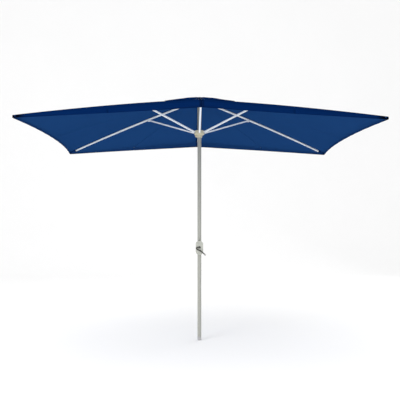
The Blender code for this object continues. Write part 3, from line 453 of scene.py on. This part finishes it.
def vent_grid(x_sign, y_sign, columns, rows):
    """The vent cap's share over one arm: from the collar out to a loose, rippled edge.

    Its height falls with the 1.2th power of the way out, plus a puff between the ribs and two
    sine ripples at the edge. A narrow hem then hangs to just above the main cloth.
    """
    across = np.linspace(-1, 1, columns + 1)
    x, y, on_long = hem_shares(x_sign, y_sign, across)
    share = np.linspace(0, 1, rows + 1)[:, None]
    edge = surface(x, y, on_long, np.full_like(x, VENT_EDGE))
    flat = np.stack([x * HALF[0], y * HALF[1]], -1)
    collar = flat / np.linalg.norm(flat, axis=-1, keepdims=True) * COLLAR_RADIUS
    plan = collar[None] * (1 - share[..., None]) + edge[None, :, :2] * share[..., None]
    between = between_ribs(x, y, on_long)
    lift = VENT_CORNER_LIFT + (VENT_LIFT - VENT_CORNER_LIFT) * (1 - np.abs(x))
    height = COLLAR_Z + (edge[:, 2] + lift - COLLAR_Z) * share**1.2
    height = height + VENT_PUFF * between * np.sin(pi * share)
    run = np.where(on_long, edge[:, 0], edge[:, 1])
    ripple = 0.35 + np.sin(run * 47 + 3.9) + 0.5 * np.sin(run * 88 + 1.3)
    height = height + VENT_RIPPLE * ripple * share**2 * np.minimum(1, 3 * between)
    points = np.concatenate([plan, height[..., None]], -1)
    drop = np.linspace(0, 1, VENT_HEM_ROWS + 1)[1:, None]
    rim = points[-1]
    hem = np.broadcast_to(rim, (VENT_HEM_ROWS, *rim.shape)).copy()
    hem[..., 2] += drop * (edge[:, 2] + VENT_HEM_GAP - rim[:, 2])
    hem[..., :2] *= (1 + VENT_HEM_FLARE * drop)[..., None]
    points = np.concatenate([points, hem])
    for column, side in ((0, -1), (-1, 1)):
        points[:, column] += cut_back(x_sign, y_sign, side)
    seam, along = from_rib(points, x_sign, y_sign)
    plan = points[..., :2]
    outward = np.linalg.norm(plan - plan[-1:], axis=-1) + 0.03
    across_run = np.where(on_long, plan[..., 0], plan[..., 1])
    return points, np.stack([across_run, outward], -1), np.stack([seam, outward], -1), along


def cloth_height(x, y):
    """Middle layer of the main cloth above any place near a rib, between the two ribs' lines."""
    out_x, out_y = np.abs(x) / HALF[0], np.abs(y) / HALF[1]
    share = np.maximum(out_x, out_y)
    blend = out_x / share
    mixed = (1 - blend) * over_rib(False, share) + blend * over_rib(True, share)
    return np.where(out_x >= out_y, over_rib(True, share), mixed)


def pocket_grid(x_sign, y_sign):
    """A pocket sewn under the cloth at a rib's end: flat at its sides, full round the rib's cap.

    Its width narrows with the square of the way out. Its fullness is a steep crown across it that
    closes at the tip, eased at both ends by the smooth step 3t^2 - 2t^3.
    """
    corner = x_sign != 0
    reach = CORNER_OUT if corner else HALF[1]
    first, last = reach - POCKET_LENGTH[corner], reach - POCKET_FROM_TIP
    rib_x, rib_y = rib_direction(x_sign, y_sign)
    turn = atan2(rib_y, rib_x)
    u, v = np.meshgrid(np.linspace(-1, 1, 33), np.linspace(0, 1, 41))
    out = first + (last - first) * v
    half_width = POCKET_HALF_WIDTH - POCKET_TAPER * v**2
    off = u * half_width
    x = out * cos(turn) - off * sin(turn)
    y = out * sin(turn) + off * cos(turn)
    below = rib_centre(corner, out) - RIB_HALF_HEIGHT - POCKET_UNDER_RIB
    sewn_on = cloth_height(x, y) - CLOTH - POCKET_UNDER_CLOTH
    full = np.clip(1.35 * (1 - np.abs(u) ** 2.6), 0, 1) * np.clip((1 - v) * 9, 0, 1)
    full = full * full * (3 - 2 * full)
    z = sewn_on * (1 - full) + np.minimum(below, sewn_on) * full
    z = z + 0.0005 * np.sin(v * 46 + 3 * u) * full
    cloth = np.stack([off, out - first], -1)
    sewn = np.stack([half_width * (1 - np.abs(u)), out - first], -1)
    return np.stack([x, y, z], -1), cloth, sewn, np.zeros_like(out)


# ------------------------------------------------------------------ meshes from grids
def grid_area(points):
    """Half the product of each face's diagonals, as a cross product, added up."""
    a, b = points[1:, 1:] - points[:-1, :-1], points[1:, :-1] - points[:-1, 1:]
    return float(np.linalg.norm(np.cross(a, b), axis=-1).sum() / 2)


def declare(points):
    """Works out a cloth piece's area from its grid, rounded, and does nothing more with it."""
    area = round(grid_area(points), 5)


def sheet_piece(name, grid, body, materials, outward=(0, 0, 1)):
    """A cloth piece from a grid of points: its faces, smooth shading, UV maps and thickness."""
    points, cloth, sewn, along = grid
    rows, columns = points.shape[:2]
    index = np.arange(rows * columns).reshape(rows, columns)
    quads = np.stack([index[:-1, :-1], index[:-1, 1:], index[1:, 1:], index[1:, :-1]], -1)
    quads = quads.reshape(-1, 4)
    flat = points.reshape(-1, 3)
    first, second, third = (flat[quads[:, i]] for i in range(3))
    normals = np.cross(second - first, third - first)
    if (normals @ np.asarray(outward)).sum() < 0:
        quads = quads[:, ::-1]
    mesh = bpy.data.meshes.new(name)
    mesh.from_pydata(flat.tolist(), [], quads.tolist())
    corners = np.empty(len(mesh.loops), np.int64)
    mesh.loops.foreach_get("vertex_index", corners)
    for label, values in (("cloth", cloth), ("sewn", sewn)):
        layer = mesh.uv_layers.new(name=label)
        layer.data.foreach_set("uv", values.reshape(-1, 2)[corners].astype(np.float32).ravel())
    attribute = mesh.attributes.new("along", "FLOAT", "POINT")
    attribute.data.foreach_set("value", along.astype(np.float32).ravel())
    mesh.shade_smooth()
    for material in materials:
        mesh.materials.append(material)
    made = bpy.data.objects.new(name, mesh)
    bpy.context.scene.collection.objects.link(made)
    thick = made.modifiers.new("Thickness", "SOLIDIFY")
    thick.thickness, thick.offset = CLOTH, 0
    thick.use_even_offset = False
    if len(materials) > 1:
        thick.material_offset = 1
    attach(made, body)
    return made


def towards_rib(made, points):
    """Gives the piece its own mesh. It works out the rib's line and each far point's offset across
    it, but does not use them.
    """
    start, end = points[0, 0], points[-1, 0]
    line = (end - start) / np.linalg.norm(end - start)
    far = points[:, -1] - start
    off_line = far - (far @ line)[:, None] * line
    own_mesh(made)


# ------------------------------------------------------------------ canopy, vent and pockets
def make_canopy():
    """Two half panels of cloth for each arm, with the CAD's whole panel hidden."""
    rows, hem_rows = 56, 8
    for name, x_sign, y_sign in ARMS:
        body = f"{name}_rib"
        for label, side in (("a", -1), ("b", 1)):
            columns = 44 if x_sign and side < 0 else 34
            grid = panel_grid(x_sign, y_sign, side, columns, rows, hem_rows)
            piece = sheet_piece(f"cloth_{name}_{label}", grid, body, [OUTER, UNDER])
            towards_rib(piece, grid[0][: rows + 1])
            declare(grid[0])
        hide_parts(f"canopy_{name}")


def make_vent():
    """The cap's share over each arm, riding on that arm's rib, with the CAD's vent piece hidden."""
    for name, x_sign, y_sign in ARMS:
        body = f"{name}_rib"
        columns = 40 if x_sign else 28
        grid = vent_grid(x_sign, y_sign, columns, 18)
        piece = sheet_piece(f"vent_cloth_{name}", grid, body, [OUTER, UNDER])
        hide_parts(f"vent_{name}")
        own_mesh(piece)
        declare(grid[0])


def make_pockets():
    """A pocket at each rib's end, seen from below."""
    for name, x_sign, y_sign in ARMS:
        grid = pocket_grid(x_sign, y_sign)
        piece = sheet_piece(f"pocket_{name}", grid, f"{name}_rib", [POCKET], (0, 0, -1))
        declare(grid[0])


# ------------------------------------------------------------------ floor, light and camera
def make_floor():
    """A pale floor that curves up into a backdrop: flat, a quarter circle, then upright."""
    half_width, start, bend, radius, top = 18.0, -14.0, 7.0, 4.0, 16.0
    below_foot = 0.0006
    profile = [(start, 0.0), (bend, 0.0)]
    profile += [
        (bend + radius * sin(a), radius - radius * cos(a)) for a in np.linspace(0, pi / 2, 24)[1:]
    ]
    profile += [(bend + radius, top)]
    points = [(x, y, z - below_foot) for y, z in profile for x in (-half_width, half_width)]
    quads = [(2 * i, 2 * i + 1, 2 * i + 3, 2 * i + 2) for i in range(len(profile) - 1)]
    mesh = bpy.data.meshes.new("studio_floor")
    mesh.from_pydata(points, [], quads)
    mesh.shade_smooth()
    shader = Shader("studio_white", Roughness=0.9, Specular_IOR_Level=0.0)
    soft = shader.noise(shader.place(), 0.7, 2)
    mesh.materials.append(shader.finish(shader.mix(soft, (0.93, 0.93, 0.93), (0.95, 0.95, 0.95))))
    floor = bpy.data.objects.new("studio_floor", mesh)
    bpy.context.scene.collection.objects.link(floor)


def make_lights():
    """A white sky and three large soft lights, each turned from its place towards its aim."""
    world = bpy.data.worlds.new("studio")
    world.use_nodes = True
    world.node_tree.nodes["Background"].inputs["Color"].default_value = (1, 1, 1, 1)
    world.node_tree.nodes["Background"].inputs["Strength"].default_value = 0.95
    bpy.context.scene.world = world
    for name, place, aim, size, power in (
        ("key", (-4.5, -5.5, 6.0), (0, 0, 1.4), 4.0, 260),
        ("rim", (5.0, 4.5, 5.0), (0, 0, 1.8), 3.0, 110),
        ("low fill", (-0.8, -6.5, 0.35), (0, 0, 2.1), 3.0, 110),
    ):
        light = bpy.data.lights.new(name, "AREA")
        light.size, light.energy = size, power
        lamp = bpy.data.objects.new(name, light)
        lamp.location = place
        x, y, z = np.array(place) - np.array(aim)
        lamp.rotation_euler = (atan2(hypot(x, y), z), 0, atan2(x, -y))
        bpy.context.scene.collection.objects.link(lamp)


def make_camera():
    """A level camera a little left of the middle, about 1.1 m up."""
    lens = bpy.data.cameras.new("camera")
    lens.sensor_width, lens.lens = 36.0, 46.98
    lens.shift_x, lens.shift_y = 0.0015, 0.0740
    lens.clip_end = 100
    camera = bpy.data.objects.new("camera", lens)
    camera.location = (-0.1033, -5.164, 1.093)
    camera.rotation_euler = (radians(90), 0, radians(-1.146))
    bpy.context.scene.collection.objects.link(camera)
    bpy.context.scene.camera = camera


make_canopy()
make_vent()
make_pockets()
make_floor()
make_lights()
make_camera()
bpy.context.scene.view_settings.view_transform = "Standard"
